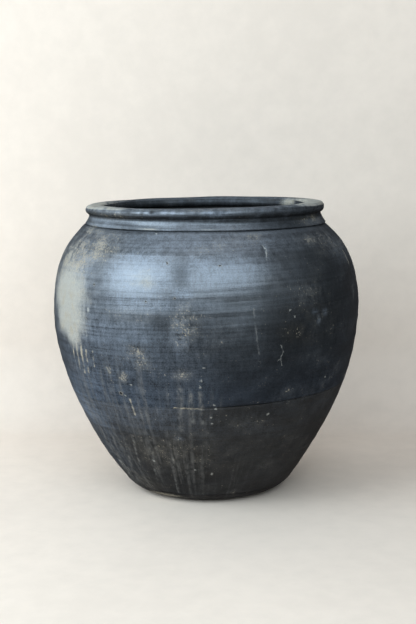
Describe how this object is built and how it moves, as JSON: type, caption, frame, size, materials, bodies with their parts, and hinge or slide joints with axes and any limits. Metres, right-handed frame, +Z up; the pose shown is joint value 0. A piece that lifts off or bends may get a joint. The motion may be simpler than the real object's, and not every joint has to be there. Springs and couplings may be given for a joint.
{
  "type": "storage pot",
  "caption": "Wide-mouthed storage pot of matte blackened clay: rounded foot, full belly, short collar and thick rolled rim, built as luted clay sections.",
  "frame": {"origin": "centre of the underside, on the surface the pot stands on", "axes": "+Z up along the pot's axis; -Y faces the side seen in the reference view"},
  "size_m": [0.4489, 0.4488, 0.423],
  "materials": {
    "slate_clay": "matte smoke-blackened clay with a blue-grey cast and pale mineral bloom",
    "dark_clay": "matte smoke-blackened clay, charcoal, with pale run marks",
    "joint_slip": "rough fired slip, stained tan with lime in places"
  },
  "bodies": {
    "root": {"base_slab": "dark_clay", "base_joint_slip": "joint_slip", "lower_wall": "dark_clay", "belly_joint_slip": "joint_slip", "upper_wall": "slate_clay", "collar_joint_slip": "joint_slip", "neck_collar": "slate_clay", "rim_joint_slip": "joint_slip", "rolled_rim": "slate_clay"}
  },
  "joints": []
}
